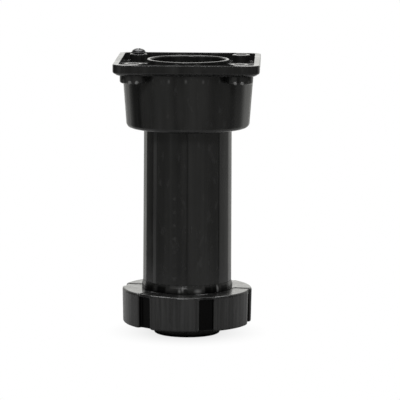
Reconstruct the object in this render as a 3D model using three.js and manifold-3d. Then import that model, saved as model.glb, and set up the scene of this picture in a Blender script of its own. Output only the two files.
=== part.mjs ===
// Adjustable cabinet leg: a square mounting socket on top, a sixteen-sided leg tube pushed up into it,
// and a six-lobed screw foot with a small glide pad below. Millimetres, +Z up, -Y is the front.
// The origin is the centre of the glide pad's underside, on the floor.

import * as THREE from 'three';
import { mergeVertices } from 'three/addons/utils/BufferGeometryUtils.js';
import Module from 'manifold-3d';

const wasm = await Module();
wasm.setup();

// ---- driving dimensions -------------------------------------------------------------------

const GAP = 0.3;                  // clearance between neighbouring pieces
const ROUND_SIDES = 48;           // sides of an ordinary round wall
const SMALL_SIDES = 24;           // sides of a small round wall
const THROUGH = 1;                // how far a cutter runs past the surface it opens

// heights, from the floor up
const WHEEL_BOTTOM = 4.8;
const WHEEL_TOP = WHEEL_BOTTOM + 15.2;
const TUBE_BOTTOM = WHEEL_TOP + 3.5;
const CUP_BOTTOM = WHEEL_TOP + 70.4;
const PLATE_TOP = WHEEL_TOP + 100; // mounting plane

const PLATE_SIDE = 62.5;
const PLATE_CORNER = 4.5;         // corner radius of the plate seen from above
const RIM_WALL = 2.5;
const RIM_DROP = 3.6;             // height of the plate's upright edge
const BEVEL_DROP = 1.4;           // height of the bevel below that edge
const BEVEL_IN = 3;               // how far the bevel leans in
const TRAY_FLOOR = 1.5;           // thickness of the plate's floor

const CUP_SIDES = 24;
const CUP_TOP_R = 29;
const CUP_BOTTOM_R = 26.8;
const CUP_EDGE = 1.7;             // rounding of the cup's lower edge
const CUP_WALL = 1.7;
const CUP_FLOOR = 2.2;

const SLEEVE_R = 17.75;
const SLEEVE_BORE_R = 16.35;
const SLEEVE_CHAMFER = 0.4;

const WEB_OFFSET = 4.6;           // each pair of webs stands this far either side of the middle
const WEB_THICK = 1.6;
const FRONT_WEB_DROP = 0.9;       // the front and back webs end this far below the mounting plane
const SIDE_WEB_DROP = 2.4;        // and the left and right ones this far

const TOWER_PITCH = 45.2;         // corner tower centres
const TOWER_R = 3.9;
const TOWER_BORE_R = 2.25;
const COLLAR_R = 5.8;             // wider end of each tower, below the plate
const COLLAR_DROP = 8.4;          // mounting plane to the collar's lower face

const SCREW_HEAD_R = 3.5;
const SCREW_HEAD_HEIGHT = 2.1;
const SCREW_DOME = 0.6;           // share of the head's height that is domed
const DOME_STEPS = 5;
const SCREW_RECESS = { length: 4, width: 0.75, depth: 1.3, turn: 20 };
const SCREW_CORE_R = 1.2;
const SCREW_CREST_R = 1.75;
const SCREW_PITCH = 1.6;          // the fine thread is drawn as rings
const SCREW_LENGTH = 16;          // under the head
const SCREW_PLAIN = 1.8;          // plain neck under the head
const SCREW_POINT = 3;            // length of the tapered point
const SCREW_TIP_R = 0.2;
const SCREW_SIDES = 12;

const TUBE_SIDES = 16;
const TUBE_TOP_R = 19.1;          // to the corners of the sixteen-sided outline
const TUBE_BOTTOM_R = 19.3;
const TUBE_BORE_R = 17.2;
const TUBE_TURN = 1.8;            // degrees the tube stands turned in the sleeve
const SPIGOT_R = 16.05;
const SPIGOT_BORE_R = 14.4;
const SPIGOT_RISE = 22.5;         // spigot height above the tube's shoulder
const SPIGOT_LEAD = 0.5;          // how far the spigot's top edge leans in
const SHOULDER = 4;               // height over which the bore narrows, ending at the shoulder

const BUSH_COLLAR_R = 19.8;       // widest corners of the collar, which has the tube's sixteen sides
const BUSH_COLLAR_TOP_R = 19.35;
const BUSH_FLARE = 1.6;           // height over which the collar widens, going down
const BUSH_EDGE = 0.4;
const BUSH_BODY_R = TUBE_BORE_R - GAP;
const BUSH_LENGTH = 17;

const PITCH = 5;                  // one turn of the foot raises or lowers it by this much
const THREAD_SIDES = 24;
const SPINDLE_CORE_R = 12;
const SPINDLE_CREST_R = 13.7;
const RIDGE_ROOT = 2.7;           // width of the thread ridge at the core
const RIDGE_CREST = 1.3;          // width of the thread ridge at its crest
const THREAD_PLAY = 0.45;         // radial play, and axial play on each flank
const THREAD_START = WHEEL_TOP + 2; // the spindle's ridge starts here, and the bush's groove one turn lower
const SPINDLE_RISE = 46;          // spindle height above the wheel
const SPINDLE_BORE_R = 10;
const SPINDLE_END = 4;            // thickness of the spindle's closed lower end
const KEYS = 3;                   // keys that lock the spindle in the wheel
const KEY = { width: 3, reach: 15.7, height: 11 };

const WHEEL_TOP_R = 28.3;
const WHEEL_BOTTOM_R = 28.05;
const WHEEL_SIDES = 72;
const WHEEL_EDGE = 1;
const WHEEL_WALL = 2.6;
const WHEEL_DECK = 2.6;           // thickness of the wheel's top
const WHEEL_HUB_R = 17;
const WHEEL_LOBES = 6;
const WHEEL_RIB = 1.6;
const WHEEL_TURN = 19.6;          // degrees from the front to the first groove
const GROOVE_WIDTH = 6.3;
const GROOVE_DEPTH = 2.2;
const GROOVE_MOUTH_R = 1.6;       // rounding where a groove meets the lobes
const LIP_HEIGHT = 1.6;           // the wheel's top edge runs on over each groove as a thin lip
const LIP_INSET = 1;
const CHANNEL_DEPTH = 0.4;        // each groove runs on across the wheel's top as a shallow channel

const PAD_R = 14.6;
const PAD_FLOOR_R = 14.2;
const PAD_EDGE = 0.5;
const PIN_R = 4;
const PIN_NECK_R = 3.1;
const PIN_HEAD = 1.8;
const CLIP_R = 7.2;
const CLIP_HEIGHT = 1.2;
const CLIP_NOTCHES = 4;
const CLIP_NOTCH = { width: 1.4, reach: 5.6 };

// heights of the pin's neck, where the clip sits on the spindle's closed end
const NECK_BOTTOM = WHEEL_BOTTOM + GAP + SPINDLE_END;
const NECK_TOP = NECK_BOTTOM + CLIP_HEIGHT + 2 * GAP;

const BLACK_PLASTIC = { color: 0x17181a, roughness: 0.42, metalness: 0 };
const DULL_PLASTIC = { color: 0x141416, roughness: 0.5, metalness: 0 };
const DARK_STEEL = { color: 0x55565a, roughness: 0.35, metalness: 0.9 };

// ---- solids: making, joining and cutting ----------------------------------------------------

const radians = THREE.MathUtils.degToRad;

// A closed three.js geometry as a manifold solid, with its shared corners merged and its poles' flat
// triangles left out.
function solid(geometry) {
  const bare = geometry.clone();
  bare.deleteAttribute('normal');
  bare.deleteAttribute('uv');
  const merged = mergeVertices(bare, 1e-4);
  const corners = merged.index.array;
  const triangles = [];
  for (let i = 0; i < corners.length; i += 3) {
    const [a, b, c] = corners.slice(i, i + 3);
    if (a !== b && b !== c && c !== a) {
      triangles.push(a, b, c);
    }
  }
  return new wasm.Manifold(new wasm.Mesh({
    numProp: 3,
    vertProperties: new Float32Array(merged.attributes.position.array),
    triVerts: new Uint32Array(triangles),
  }));
}

function joined(first, ...others) {
  return others.reduce((body, other) => body.add(other), first);
}

function cut(first, ...others) {
  return others.reduce((body, other) => body.subtract(other), first);
}

function repeated(count, make) {
  return Array.from({ length: count }, (_, i) => make((i * 360) / count));
}

function geometryOf(manifold) {
  const mesh = manifold.getMesh();
  const geometry = new THREE.BufferGeometry();
  geometry.setAttribute('position', new THREE.BufferAttribute(new Float32Array(mesh.vertProperties), 3));
  geometry.setIndex(new THREE.BufferAttribute(new Uint32Array(mesh.triVerts), 1));
  geometry.computeVertexNormals();
  return geometry;
}

function named(name, manifold, finish, turn = 0) {
  const mesh = new THREE.Mesh(geometryOf(manifold), new THREE.MeshStandardMaterial(finish));
  mesh.name = name;
  mesh.rotation.z = radians(turn);
  return mesh;
}

// A solid of revolution about +Z. The outline is [radius, height] pairs going up, and its ends are
// brought in to the axis. Its first corner faces the front, or stands a turn in degrees from there.
function turned(outline, sides = ROUND_SIDES, turn = 0) {
  const points = outline.map(([r, z]) => new THREE.Vector2(r, z));
  points.unshift(new THREE.Vector2(0, points[0].y));
  points.push(new THREE.Vector2(0, points[points.length - 1].y));
  const geometry = new THREE.LatheGeometry(points, sides);
  geometry.rotateX(Math.PI / 2);
  geometry.rotateZ(radians(turn));
  return solid(geometry);
}

function disc(radius, bottom, top, sides = ROUND_SIDES) {
  return turned([[radius, bottom], [radius, top]], sides);
}

// A quarter round from the underside to the wall of a turned piece, as outline pairs.
function lowerEdge(radius, bottom, edge, parts = 3) {
  return Array.from({ length: parts + 1 }, (_, i) => {
    const angle = (i / parts) * (Math.PI / 2);
    return [radius - edge + edge * Math.sin(angle), bottom + edge - edge * Math.cos(angle)];
  });
}

// A box from one radius to another, pointing out from the axis at an angle from the front.
function spoke({ from, to, width, bottom, top, offset = 0, angle = 0 }) {
  const geometry = new THREE.BoxGeometry(width, to - from, top - bottom);
  geometry.translate(offset, -(from + to) / 2, (bottom + top) / 2);
  geometry.rotateZ(radians(angle));
  return solid(geometry);
}

// A groove's cutter, at an angle from the front: a flat floor, then a mouth that flares out in a quarter
// round on either side and ends beyond the wall.
function grooveCutter({ wall, depth, bottom, top, angle }) {
  const half = GROOVE_WIDTH / 2;
  const floor = -(wall - depth);
  const mouth = Math.min(GROOVE_MOUTH_R, depth);
  const rise = -(wall * Math.cos(Math.asin(half / wall)) - mouth);
  const beyond = -(wall + THROUGH);
  const shape = new THREE.Shape();
  shape.moveTo(-half, floor);
  shape.lineTo(-half, rise);
  shape.absarc(-half - mouth, rise, mouth, 0, -Math.PI / 2, true);
  shape.lineTo(-half - mouth, beyond);
  shape.lineTo(half + mouth, beyond);
  shape.lineTo(half + mouth, rise - mouth);
  shape.absarc(half + mouth, rise, mouth, -Math.PI / 2, -Math.PI, true);
  shape.lineTo(half, floor);
  const options = { depth: top - bottom, bevelEnabled: false, curveSegments: 3 };
  const geometry = new THREE.ExtrudeGeometry(shape, options);
  geometry.translate(0, 0, bottom);
  geometry.rotateZ(radians(angle));
  return solid(geometry);
}

// A square with rounded corners, centred on the axis.
function roundedSquare(side, corner) {
  const inner = side / 2 - corner;
  const shape = new THREE.Shape();
  const quadrants = [[1, -1, -90], [1, 1, 0], [-1, 1, 90], [-1, -1, 180]];
  for (const [x, y, start] of quadrants) {
    shape.absarc(x * inner, y * inner, corner, radians(start), radians(start + 90), false);
  }
  return shape;
}

function squareBlock(side, corner, bottom, top) {
  const options = { depth: top - bottom, bevelEnabled: false, curveSegments: 6 };
  const geometry = new THREE.ExtrudeGeometry(roundedSquare(side, corner), options);
  geometry.translate(0, 0, bottom);
  return solid(geometry);
}

// A rounded square block whose lower rim leans in: every point of the bottom outline moves in by the
// same distance along its own side or corner.
function bevelledSquare(side, corner, inset, bottom, top) {
  const options = { depth: top - bottom, bevelEnabled: false, curveSegments: 6 };
  const geometry = new THREE.ExtrudeGeometry(roundedSquare(side, corner), options);
  geometry.translate(0, 0, bottom);
  const place = geometry.attributes.position;
  const inner = side / 2 - corner;
  for (let i = 0; i < place.count; i += 1) {
    if (place.getZ(i) < bottom + 1e-3) {
      const cx = Math.sign(place.getX(i)) * inner;
      const cy = Math.sign(place.getY(i)) * inner;
      const shrink = (corner - inset) / corner;
      place.setX(i, cx + (place.getX(i) - cx) * shrink);
      place.setY(i, cy + (place.getY(i) - cy) * shrink);
    }
  }
  return solid(geometry);
}

// A round rod with a right-handed thread: a many-sided core from bottom to top, with a four-sided ridge
// that starts at one corner of the core at a given height and climbs round it for a number of turns.
// Each corner of the core is a column of points: the rod's bottom, four points for every turn of the
// ridge, and the rod's top. The ridge leaves the last column one turn higher than it met the first.
function threadedRod({ core, crest, rootWidth, crestWidth, pitch, start, turns, bottom, top, sides }) {
  const section = [
    [core, -rootWidth / 2],
    [crest, -crestWidth / 2],
    [crest, crestWidth / 2],
    [core, rootWidth / 2],
  ];
  const rows = section.length * turns + 2;
  const positions = [];
  for (let column = 0; column < sides; column += 1) {
    const angle = (column / sides) * Math.PI * 2;
    const climb = start + (column / sides) * pitch;
    const put = (r, z) => positions.push(r * Math.cos(angle), r * Math.sin(angle), z);
    put(core, bottom);
    for (let turn = 0; turn < turns; turn += 1) {
      section.forEach(([r, z]) => put(r, climb + turn * pitch + z));
    }
    put(core, top);
  }
  const last = sides - 1;
  const at = (column, row) => column * rows + row;
  const index = [];
  const face = (...corners) => {
    for (let i = 2; i < corners.length; i += 1) {
      index.push(corners[0], corners[i - 1], corners[i]);
    }
  };
  for (let column = 0; column < last; column += 1) {
    for (let row = 0; row < rows - 1; row += 1) {
      face(at(column, row), at(column + 1, row), at(column + 1, row + 1), at(column, row + 1));
    }
  }
  face(at(last, 0), at(0, 0), at(0, 1), at(0, 4), at(0, 5), at(last, 1));
  for (let row = 1; row < rows - 6; row += 1) {
    face(at(last, row), at(0, row + 4), at(0, row + 5), at(last, row + 1));
  }
  const end = rows - 1;
  face(at(last, end), at(last, end - 1), at(last, end - 4), at(last, end - 5), at(0, end - 1), at(0, end));
  face(at(0, 1), at(0, 2), at(0, 3), at(0, 4));
  face(at(last, end - 1), at(last, end - 2), at(last, end - 3), at(last, end - 4));
  face(...Array.from({ length: sides }, (_, column) => at(last - column, 0)));
  face(...Array.from({ length: sides }, (_, column) => at(column, end)));
  const geometry = new THREE.BufferGeometry();
  geometry.setAttribute('position', new THREE.Float32BufferAttribute(positions, 3));
  geometry.setIndex(index);
  return solid(geometry);
}

// ---- the pieces -----------------------------------------------------------------------------

// The cup's outline, brought in by an inset: 0 is the outside, the wall's thickness is the inside.
function cupBody(inset, bottom, top) {
  const edge = Math.max(CUP_EDGE - inset, GAP);
  const outline = lowerEdge(CUP_BOTTOM_R - inset, bottom, edge);
  outline.push([CUP_TOP_R - inset, top]);
  return turned(outline, CUP_SIDES);
}

function mountingSocket() {
  const uprightBottom = PLATE_TOP - RIM_DROP;
  const plateBottom = uprightBottom - BEVEL_DROP;
  const trayFloor = plateBottom + TRAY_FLOOR;
  const cupFloor = CUP_BOTTOM + CUP_FLOOR;
  const traySide = PLATE_SIDE - 2 * RIM_WALL;
  const towerDistance = (TOWER_PITCH / 2) * Math.SQRT2;
  const corners = repeated(4, (angle) => angle + 45);

  const atCorner = (radius, bottom, top, angle) => {
    const geometry = new THREE.CylinderGeometry(radius, radius, top - bottom, SMALL_SIDES);
    geometry.rotateX(Math.PI / 2);
    geometry.translate(0, -towerDistance, (top + bottom) / 2);
    geometry.rotateZ(radians(angle));
    return solid(geometry);
  };
  const sides = repeated(4, (angle) => angle);
  const webs = sides.flatMap((angle) => [-WEB_OFFSET, WEB_OFFSET].map((offset) => {
    const top = PLATE_TOP - (angle % 180 === 0 ? FRONT_WEB_DROP : SIDE_WEB_DROP);
    const span = { from: SLEEVE_R - 1, width: WEB_THICK, top, offset, angle };
    const inCup = spoke({ ...span, to: PLATE_SIDE / 2, bottom: cupFloor - THROUGH })
      .intersect(cupBody(CUP_WALL / 2, CUP_BOTTOM + THROUGH, PLATE_TOP));
    return joined(inCup, spoke({ ...span, to: (traySide + RIM_WALL) / 2, bottom: trayFloor - GAP }));
  }));

  const shell = joined(
    squareBlock(PLATE_SIDE, PLATE_CORNER, uprightBottom, PLATE_TOP),
    bevelledSquare(PLATE_SIDE, PLATE_CORNER, BEVEL_IN, plateBottom, uprightBottom),
    cupBody(0, CUP_BOTTOM, trayFloor - GAP),
    ...corners.map((angle) => atCorner(COLLAR_R, PLATE_TOP - COLLAR_DROP, trayFloor - GAP, angle)),
  );
  const hollow = cut(
    shell,
    squareBlock(traySide, PLATE_CORNER - RIM_WALL, trayFloor, PLATE_TOP + THROUGH),
    cupBody(CUP_WALL, cupFloor, PLATE_TOP + THROUGH),
  );
  const filled = joined(
    hollow,
    disc(SLEEVE_R, CUP_BOTTOM + THROUGH, PLATE_TOP),
    ...webs,
    ...corners.map((angle) => atCorner(TOWER_R, plateBottom, PLATE_TOP, angle)),
  );
  const bore = turned([
    [SLEEVE_BORE_R, CUP_BOTTOM - THROUGH],
    [SLEEVE_BORE_R, PLATE_TOP - SLEEVE_CHAMFER],
    [SLEEVE_BORE_R + SLEEVE_CHAMFER, PLATE_TOP],
    [SLEEVE_BORE_R + SLEEVE_CHAMFER, PLATE_TOP + THROUGH],
  ]);
  const screwBores = corners.map((angle) => (
    atCorner(TOWER_BORE_R, PLATE_TOP - COLLAR_DROP - THROUGH, PLATE_TOP + THROUGH, angle)
  ));
  return named('mounting_socket', cut(filled, bore, ...screwBores), BLACK_PLASTIC);
}

function cornerScrew() {
  const rise = SCREW_HEAD_HEIGHT * SCREW_DOME;
  const domeRadius = (share) => SCREW_HEAD_R * Math.cos(share * (Math.PI / 2));
  const dome = Array.from({ length: DOME_STEPS }, (_, i) => [
    domeRadius(i / DOME_STEPS),
    SCREW_HEAD_HEIGHT - rise + rise * Math.sin((i / DOME_STEPS) * (Math.PI / 2)),
  ]);
  const crown = [domeRadius(1 - 0.25 / DOME_STEPS), SCREW_HEAD_HEIGHT];
  const head = turned([[SCREW_HEAD_R - SCREW_TIP_R, 0], ...dome, crown], SMALL_SIDES);
  const arm = {
    from: -SCREW_RECESS.length / 2,
    to: SCREW_RECESS.length / 2,
    width: SCREW_RECESS.width,
    bottom: SCREW_HEAD_HEIGHT - SCREW_RECESS.depth,
    top: SCREW_HEAD_HEIGHT + THROUGH,
  };
  const shankOutline = [[SCREW_TIP_R, -SCREW_LENGTH]];
  for (let z = SCREW_POINT - SCREW_LENGTH; z < -SCREW_PLAIN; z += SCREW_PITCH) {
    shankOutline.push([SCREW_CORE_R, z], [SCREW_CREST_R, z + SCREW_PITCH / 2]);
  }
  shankOutline.push([SCREW_CORE_R, -SCREW_PLAIN], [SCREW_CORE_R, SCREW_HEAD_HEIGHT - SCREW_RECESS.depth]);
  const shank = turned(shankOutline, SCREW_SIDES);
  const arms = [0, 90].map((across) => spoke({ ...arm, angle: SCREW_RECESS.turn + across }));
  const body = cut(joined(head, shank), ...arms);
  const screw = named('corner_screw', body, DARK_STEEL);
  screw.position.set(-TOWER_PITCH / 2, TOWER_PITCH / 2, PLATE_TOP + GAP);
  return screw;
}

function legTube() {
  const shoulder = CUP_BOTTOM - GAP;
  const spigotTop = shoulder + SPIGOT_RISE;
  const outside = joined(
    turned([[TUBE_BOTTOM_R, TUBE_BOTTOM], [TUBE_TOP_R, shoulder]], TUBE_SIDES),
    turned([
      [SPIGOT_R, shoulder - THROUGH],
      [SPIGOT_R, spigotTop - 2 * SPIGOT_LEAD],
      [SPIGOT_R - SPIGOT_LEAD, spigotTop],
    ]),
  );
  const bore = turned([
    [TUBE_BORE_R, TUBE_BOTTOM - THROUGH],
    [TUBE_BORE_R, shoulder - SHOULDER],
    [SPIGOT_BORE_R, shoulder - THROUGH],
    [SPIGOT_BORE_R, spigotTop + THROUGH],
  ]);
  return named('leg_tube', cut(outside, bore), BLACK_PLASTIC, TUBE_TURN);
}

function threadBush() {
  const bottom = WHEEL_TOP + GAP;
  const top = bottom + BUSH_LENGTH;
  const collarTop = TUBE_BOTTOM - GAP;
  const collar = [
    [BUSH_COLLAR_R - BUSH_EDGE, bottom],
    [BUSH_COLLAR_R, bottom + BUSH_EDGE],
    [BUSH_COLLAR_R, collarTop - BUSH_FLARE],
    [BUSH_COLLAR_TOP_R, collarTop],
  ];
  const body = joined(
    turned(collar, TUBE_SIDES, TUBE_TURN),
    disc(BUSH_BODY_R, collarTop - THROUGH, top),
  );
  const threadedBore = threadedRod({
    core: SPINDLE_CORE_R + THREAD_PLAY,
    crest: SPINDLE_CREST_R + THREAD_PLAY,
    rootWidth: RIDGE_ROOT + 2 * THREAD_PLAY,
    crestWidth: RIDGE_CREST + 2 * THREAD_PLAY,
    pitch: PITCH,
    start: THREAD_START - 2 * PITCH,
    turns: Math.ceil(BUSH_LENGTH / PITCH) + 3,
    bottom: bottom - 3 * PITCH,
    top: top + 3 * PITCH,
    sides: THREAD_SIDES,
  });
  return named('thread_bush', cut(body, threadedBore), DULL_PLASTIC);
}

function footWheel() {
  const deck = WHEEL_TOP - WHEEL_DECK;
  const atLobes = (cutter, between = 0) => repeated(WHEEL_LOBES, (angle) => (
    spoke({ ...cutter, angle: WHEEL_TURN + between + angle })
  ));
  const outside = turned([
    ...lowerEdge(WHEEL_BOTTOM_R, WHEEL_BOTTOM, WHEEL_EDGE),
    [WHEEL_TOP_R, WHEEL_TOP - WHEEL_EDGE],
    [WHEEL_TOP_R - WHEEL_EDGE * 0.3, WHEEL_TOP - WHEEL_EDGE * 0.3],
    [WHEEL_TOP_R - WHEEL_EDGE, WHEEL_TOP],
  ], WHEEL_SIDES);
  const keptBelow = { bottom: WHEEL_BOTTOM - 2 * THROUGH, top: deck + THROUGH };
  const hollow = cut(
    disc(WHEEL_BOTTOM_R - WHEEL_WALL, WHEEL_BOTTOM - THROUGH, deck, WHEEL_SIDES),
    disc(WHEEL_HUB_R, keptBelow.bottom, keptBelow.top),
    ...atLobes({
      ...keptBelow,
      from: WHEEL_BOTTOM_R - GROOVE_DEPTH - WHEEL_WALL,
      to: WHEEL_TOP_R,
      width: GROOVE_WIDTH + 2 * WHEEL_WALL,
    }),
    ...atLobes({
      ...keptBelow,
      from: WHEEL_HUB_R - THROUGH,
      to: WHEEL_TOP_R,
      width: WHEEL_RIB,
    }, 180 / WHEEL_LOBES),
  );
  const grooves = repeated(WHEEL_LOBES, (angle) => {
    const groove = { wall: WHEEL_TOP_R, bottom: WHEEL_BOTTOM - THROUGH, angle: WHEEL_TURN + angle };
    return joined(
      grooveCutter({ ...groove, depth: GROOVE_DEPTH, top: WHEEL_TOP - LIP_HEIGHT }),
      grooveCutter({ ...groove, depth: LIP_INSET, top: WHEEL_TOP + THROUGH }),
    );
  });
  const channels = atLobes({
    from: BUSH_COLLAR_R + GAP,
    to: WHEEL_TOP_R,
    width: GROOVE_WIDTH,
    bottom: WHEEL_TOP - CHANNEL_DEPTH,
    top: WHEEL_TOP + THROUGH,
  });
  const spindleHole = disc(SPINDLE_CREST_R + GAP, WHEEL_BOTTOM - THROUGH, WHEEL_TOP + THROUGH);
  const keyways = repeated(KEYS, (angle) => spoke({
    from: SPINDLE_CREST_R - THROUGH,
    to: KEY.reach + GAP,
    width: KEY.width + 2 * GAP,
    bottom: WHEEL_BOTTOM - THROUGH,
    top: WHEEL_BOTTOM + KEY.height + 2 * GAP,
    angle: WHEEL_TURN + angle,
  }));
  const wheel = cut(outside, hollow, ...grooves, ...channels, spindleHole, ...keyways);
  return named('foot_wheel', wheel, BLACK_PLASTIC);
}

function footSpindle() {
  const bottom = WHEEL_BOTTOM + GAP;
  const top = WHEEL_TOP + SPINDLE_RISE;
  const plain = disc(SPINDLE_CREST_R, bottom, WHEEL_TOP, THREAD_SIDES);
  const threaded = threadedRod({
    core: SPINDLE_CORE_R,
    crest: SPINDLE_CREST_R,
    rootWidth: RIDGE_ROOT,
    crestWidth: RIDGE_CREST,
    pitch: PITCH,
    start: THREAD_START,
    turns: Math.floor(SPINDLE_RISE / PITCH) - 1,
    bottom: WHEEL_TOP - THROUGH,
    top,
    sides: THREAD_SIDES,
  });
  const keys = repeated(KEYS, (angle) => spoke({
    from: SPINDLE_CREST_R - THROUGH,
    to: KEY.reach,
    width: KEY.width,
    bottom,
    top: bottom + KEY.height,
    angle: WHEEL_TURN + angle,
  }));
  const bore = disc(SPINDLE_BORE_R, bottom + SPINDLE_END, top + THROUGH);
  const pinHole = disc(PIN_R + GAP, bottom - THROUGH, bottom + SPINDLE_END + THROUGH, SMALL_SIDES);
  return named('foot_spindle', cut(joined(plain, threaded, ...keys), bore, pinHole), DULL_PLASTIC);
}

function glidePad() {
  const padTop = WHEEL_BOTTOM - GAP / 2;
  const body = turned([
    ...lowerEdge(PAD_FLOOR_R, 0, PAD_EDGE, 2),
    [PAD_R, padTop - PAD_EDGE],
    [PAD_R - PAD_EDGE, padTop],
    [PIN_R, padTop],
    [PIN_R, NECK_BOTTOM],
    [PIN_NECK_R, NECK_BOTTOM],
    [PIN_NECK_R, NECK_TOP],
    [PIN_R, NECK_TOP],
    [PIN_NECK_R, NECK_TOP + PIN_HEAD],
  ]);
  return named('glide_pad', body, DULL_PLASTIC);
}

function padClip() {
  const bottom = NECK_BOTTOM + GAP;
  const top = bottom + CLIP_HEIGHT;
  const bore = disc(PIN_NECK_R + GAP, bottom - THROUGH, top + THROUGH, SMALL_SIDES);
  const notches = repeated(CLIP_NOTCHES, (angle) => spoke({
    from: PIN_NECK_R - THROUGH,
    to: CLIP_NOTCH.reach,
    width: CLIP_NOTCH.width,
    bottom: bottom - THROUGH,
    top: top + THROUGH,
    angle,
  }));
  return named('pad_clip', cut(disc(CLIP_R, bottom, top), bore, ...notches), DARK_STEEL);
}

const cabinetLeg = new THREE.Group();
cabinetLeg.add(
  mountingSocket(),
  cornerScrew(),
  legTube(),
  threadBush(),
  footWheel(),
  footSpindle(),
  glidePad(),
  padClip(),
);

export default cabinetLeg;
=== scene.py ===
import math

import bmesh
import bpy
from mathutils import Matrix, Quaternion, Vector


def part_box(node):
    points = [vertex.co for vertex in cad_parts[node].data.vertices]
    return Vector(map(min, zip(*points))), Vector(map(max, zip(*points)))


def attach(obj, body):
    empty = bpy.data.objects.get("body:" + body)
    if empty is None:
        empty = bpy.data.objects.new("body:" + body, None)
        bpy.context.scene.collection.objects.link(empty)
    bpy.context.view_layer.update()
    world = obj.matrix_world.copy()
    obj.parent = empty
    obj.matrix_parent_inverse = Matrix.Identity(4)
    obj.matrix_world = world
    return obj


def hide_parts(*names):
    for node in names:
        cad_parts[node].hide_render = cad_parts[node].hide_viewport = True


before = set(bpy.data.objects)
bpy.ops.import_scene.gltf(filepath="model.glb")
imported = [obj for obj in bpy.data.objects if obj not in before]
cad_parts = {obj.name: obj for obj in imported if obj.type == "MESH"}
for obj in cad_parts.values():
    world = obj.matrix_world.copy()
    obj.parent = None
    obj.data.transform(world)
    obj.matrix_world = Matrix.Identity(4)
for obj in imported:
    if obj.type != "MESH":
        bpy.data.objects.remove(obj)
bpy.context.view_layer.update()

MM = 0.001
GAP = 0.3  # clearance between pieces, in millimetres
OVERCUT = 1.0  # how far a cutting shape reaches past the face it cuts
ROUND = 40  # sides of a small round wall

# ---- dimensions in millimetres ----


def low(node):
    """Lowest height of a CAD node, in millimetres."""
    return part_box(node)[0].z / MM


def high(node):
    """Highest height of a CAD node, in millimetres."""
    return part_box(node)[1].z / MM


def width(node):
    """Width of a CAD node from left to right, in millimetres."""
    lowest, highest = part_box(node)
    return (highest.x - lowest.x) / MM


PLATE_TOP = high("mounting_socket")
CUP_BOTTOM = low("mounting_socket")
PLATE_SIDE = width("mounting_socket")
PLATE_CORNER = 4.5
RIM_WALL = 2.5
RIM_DROP = 3.6
BEVEL_DROP = 1.4
BEVEL_IN = 3.0  # how far the plate's lower bevel leans in
TRAY_FLOOR = 1.5
CUP_SIDES = 24
CUP_ARRIS = 18.0  # corner radius between the cup's flats
CUP_TOP_R = 29.0
CUP_BOTTOM_R = 26.8
CUP_WALL = 1.7
CUP_FLOOR = 2.2
SLEEVE_R = 17.75
SLEEVE_BORE_R = 16.35
WEB_OFFSET = 4.6
WEB_THICK = 1.6
FRONT_WEB_DROP = 0.9  # from the mounting plane to the tops of the webs
SIDE_WEB_DROP = 2.4
TOWER_PITCH = 45.2
TOWER_R = 3.9
TOWER_BORE_R = 2.25
COLLAR_R = 5.8  # the wide collar round a tower, under the plate
COLLAR_DROP = 8.4

TUBE_SIDES = 16
TUBE_ARRIS = 3.0  # corner radius between the tube's flats
TUBE_SWELL = 0.10  # how far each flat swells out
TUBE_TOP_R = 19.1
TUBE_BOTTOM_R = 19.3
TUBE_BORE_R = 17.2
TUBE_TURN = math.radians(1.8)
TUBE_BOTTOM = low("leg_tube")
SPIGOT_R = 16.05
SPIGOT_BORE_R = 14.4
SPIGOT_TOP = high("leg_tube")
SHOULDER = CUP_BOTTOM - GAP
SHOULDER_SLOPE = 4.0  # height over which the tube's bore narrows to the spigot's

BUSH_BOTTOM = low("thread_bush")
BUSH_TOP = high("thread_bush")
BUSH_COLLAR_R = 19.8
BUSH_COLLAR_TOP_R = 19.33
BUSH_COLLAR_TOP = TUBE_BOTTOM - 0.06  # pressed home: the seam is only just seen
BUSH_BODY_R = TUBE_BORE_R - GAP

PITCH = 5.0
THREAD_CORE_R = 12.0
THREAD_CREST_R = 13.7
RIDGE_ROOT = 2.7
RIDGE_CREST = 1.3
THREAD_PLAY = 0.45  # how much wider the bush's thread is on every side

WHEEL_BOTTOM = low("foot_wheel")
WHEEL_TOP = high("foot_wheel")
WHEEL_R = width("foot_wheel") / 2
WHEEL_TAPER = 0.3
WHEEL_WALL = 2.6
WHEEL_DECK = 2.6
WHEEL_HUB_R = 17.0
WHEEL_LOBES = 6
WHEEL_TURN = math.radians(19.6)
GROOVE_WIDTH = 6.3
GROOVE_DEPTH = 2.2
LOBE_CORNER = 1.7
LIP_HEIGHT = 1.35
LIP_INSET = 1.0
CHANNEL_DEPTH = 0.22
THREAD_START = WHEEL_TOP + 2.0

PIP_R = 0.8
PIP_SUNK = 0.4  # how far a knob's middle lies inside the collar's wall
PIP_ANGLES = (-13.0, 18.0)  # from straight out at the front, towards the middle of the side

# Bearing and half width, in degrees, of painted shade on the collar's slanting flats.
COLLAR_PAINTED_SHADE = [(-54.0, 9.0), (-33.0, 8.0), (30.0, 6.5), (39.0, 4.0), (57.0, 9.0)]
# Bearing and half width in degrees, then height above the collar's foot and reach, of painted glints
# (painted highlights).
COLLAR_GLINTS = [
    (-8.0, 2.6, 0.9, 1.3), (-4.0, 2.0, 1.6, 1.6), (15.5, 6.0, 0.8, 1.2), (44.0, 2.0, 1.4, 2.2),
]
SHADED_RIM_HALF = 20.0  # half length of the middle of the plate's front and back rims, where painted shade takes the reflection off
PAINTED_ARRIS_HIGHLIGHTS = [(-46.0, 4.6, 0.9)]  # bearing and half width in degrees, and strength, of a painted highlight along an arris
PAINTED_DARK_REFLECTIONS = [1.8, 46.8]  # bearings of thin painted dark reflection lines
TICK_ANGLE = math.radians(-15.5)  # the column of small moulding marks on the tube
TICK_STEP = 5.8
TICK_COUNT = 7
TICK_LOW = 26.5

SPINDLE_TOP = high("foot_spindle")
SPINDLE_BOTTOM = low("foot_spindle")
SPINDLE_BORE_R = 10.0
SPINDLE_END = 4.0

PAD_TOP = WHEEL_BOTTOM - 0.15
PIN_R = 4.0
PIN_NECK_R = 3.1

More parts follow.
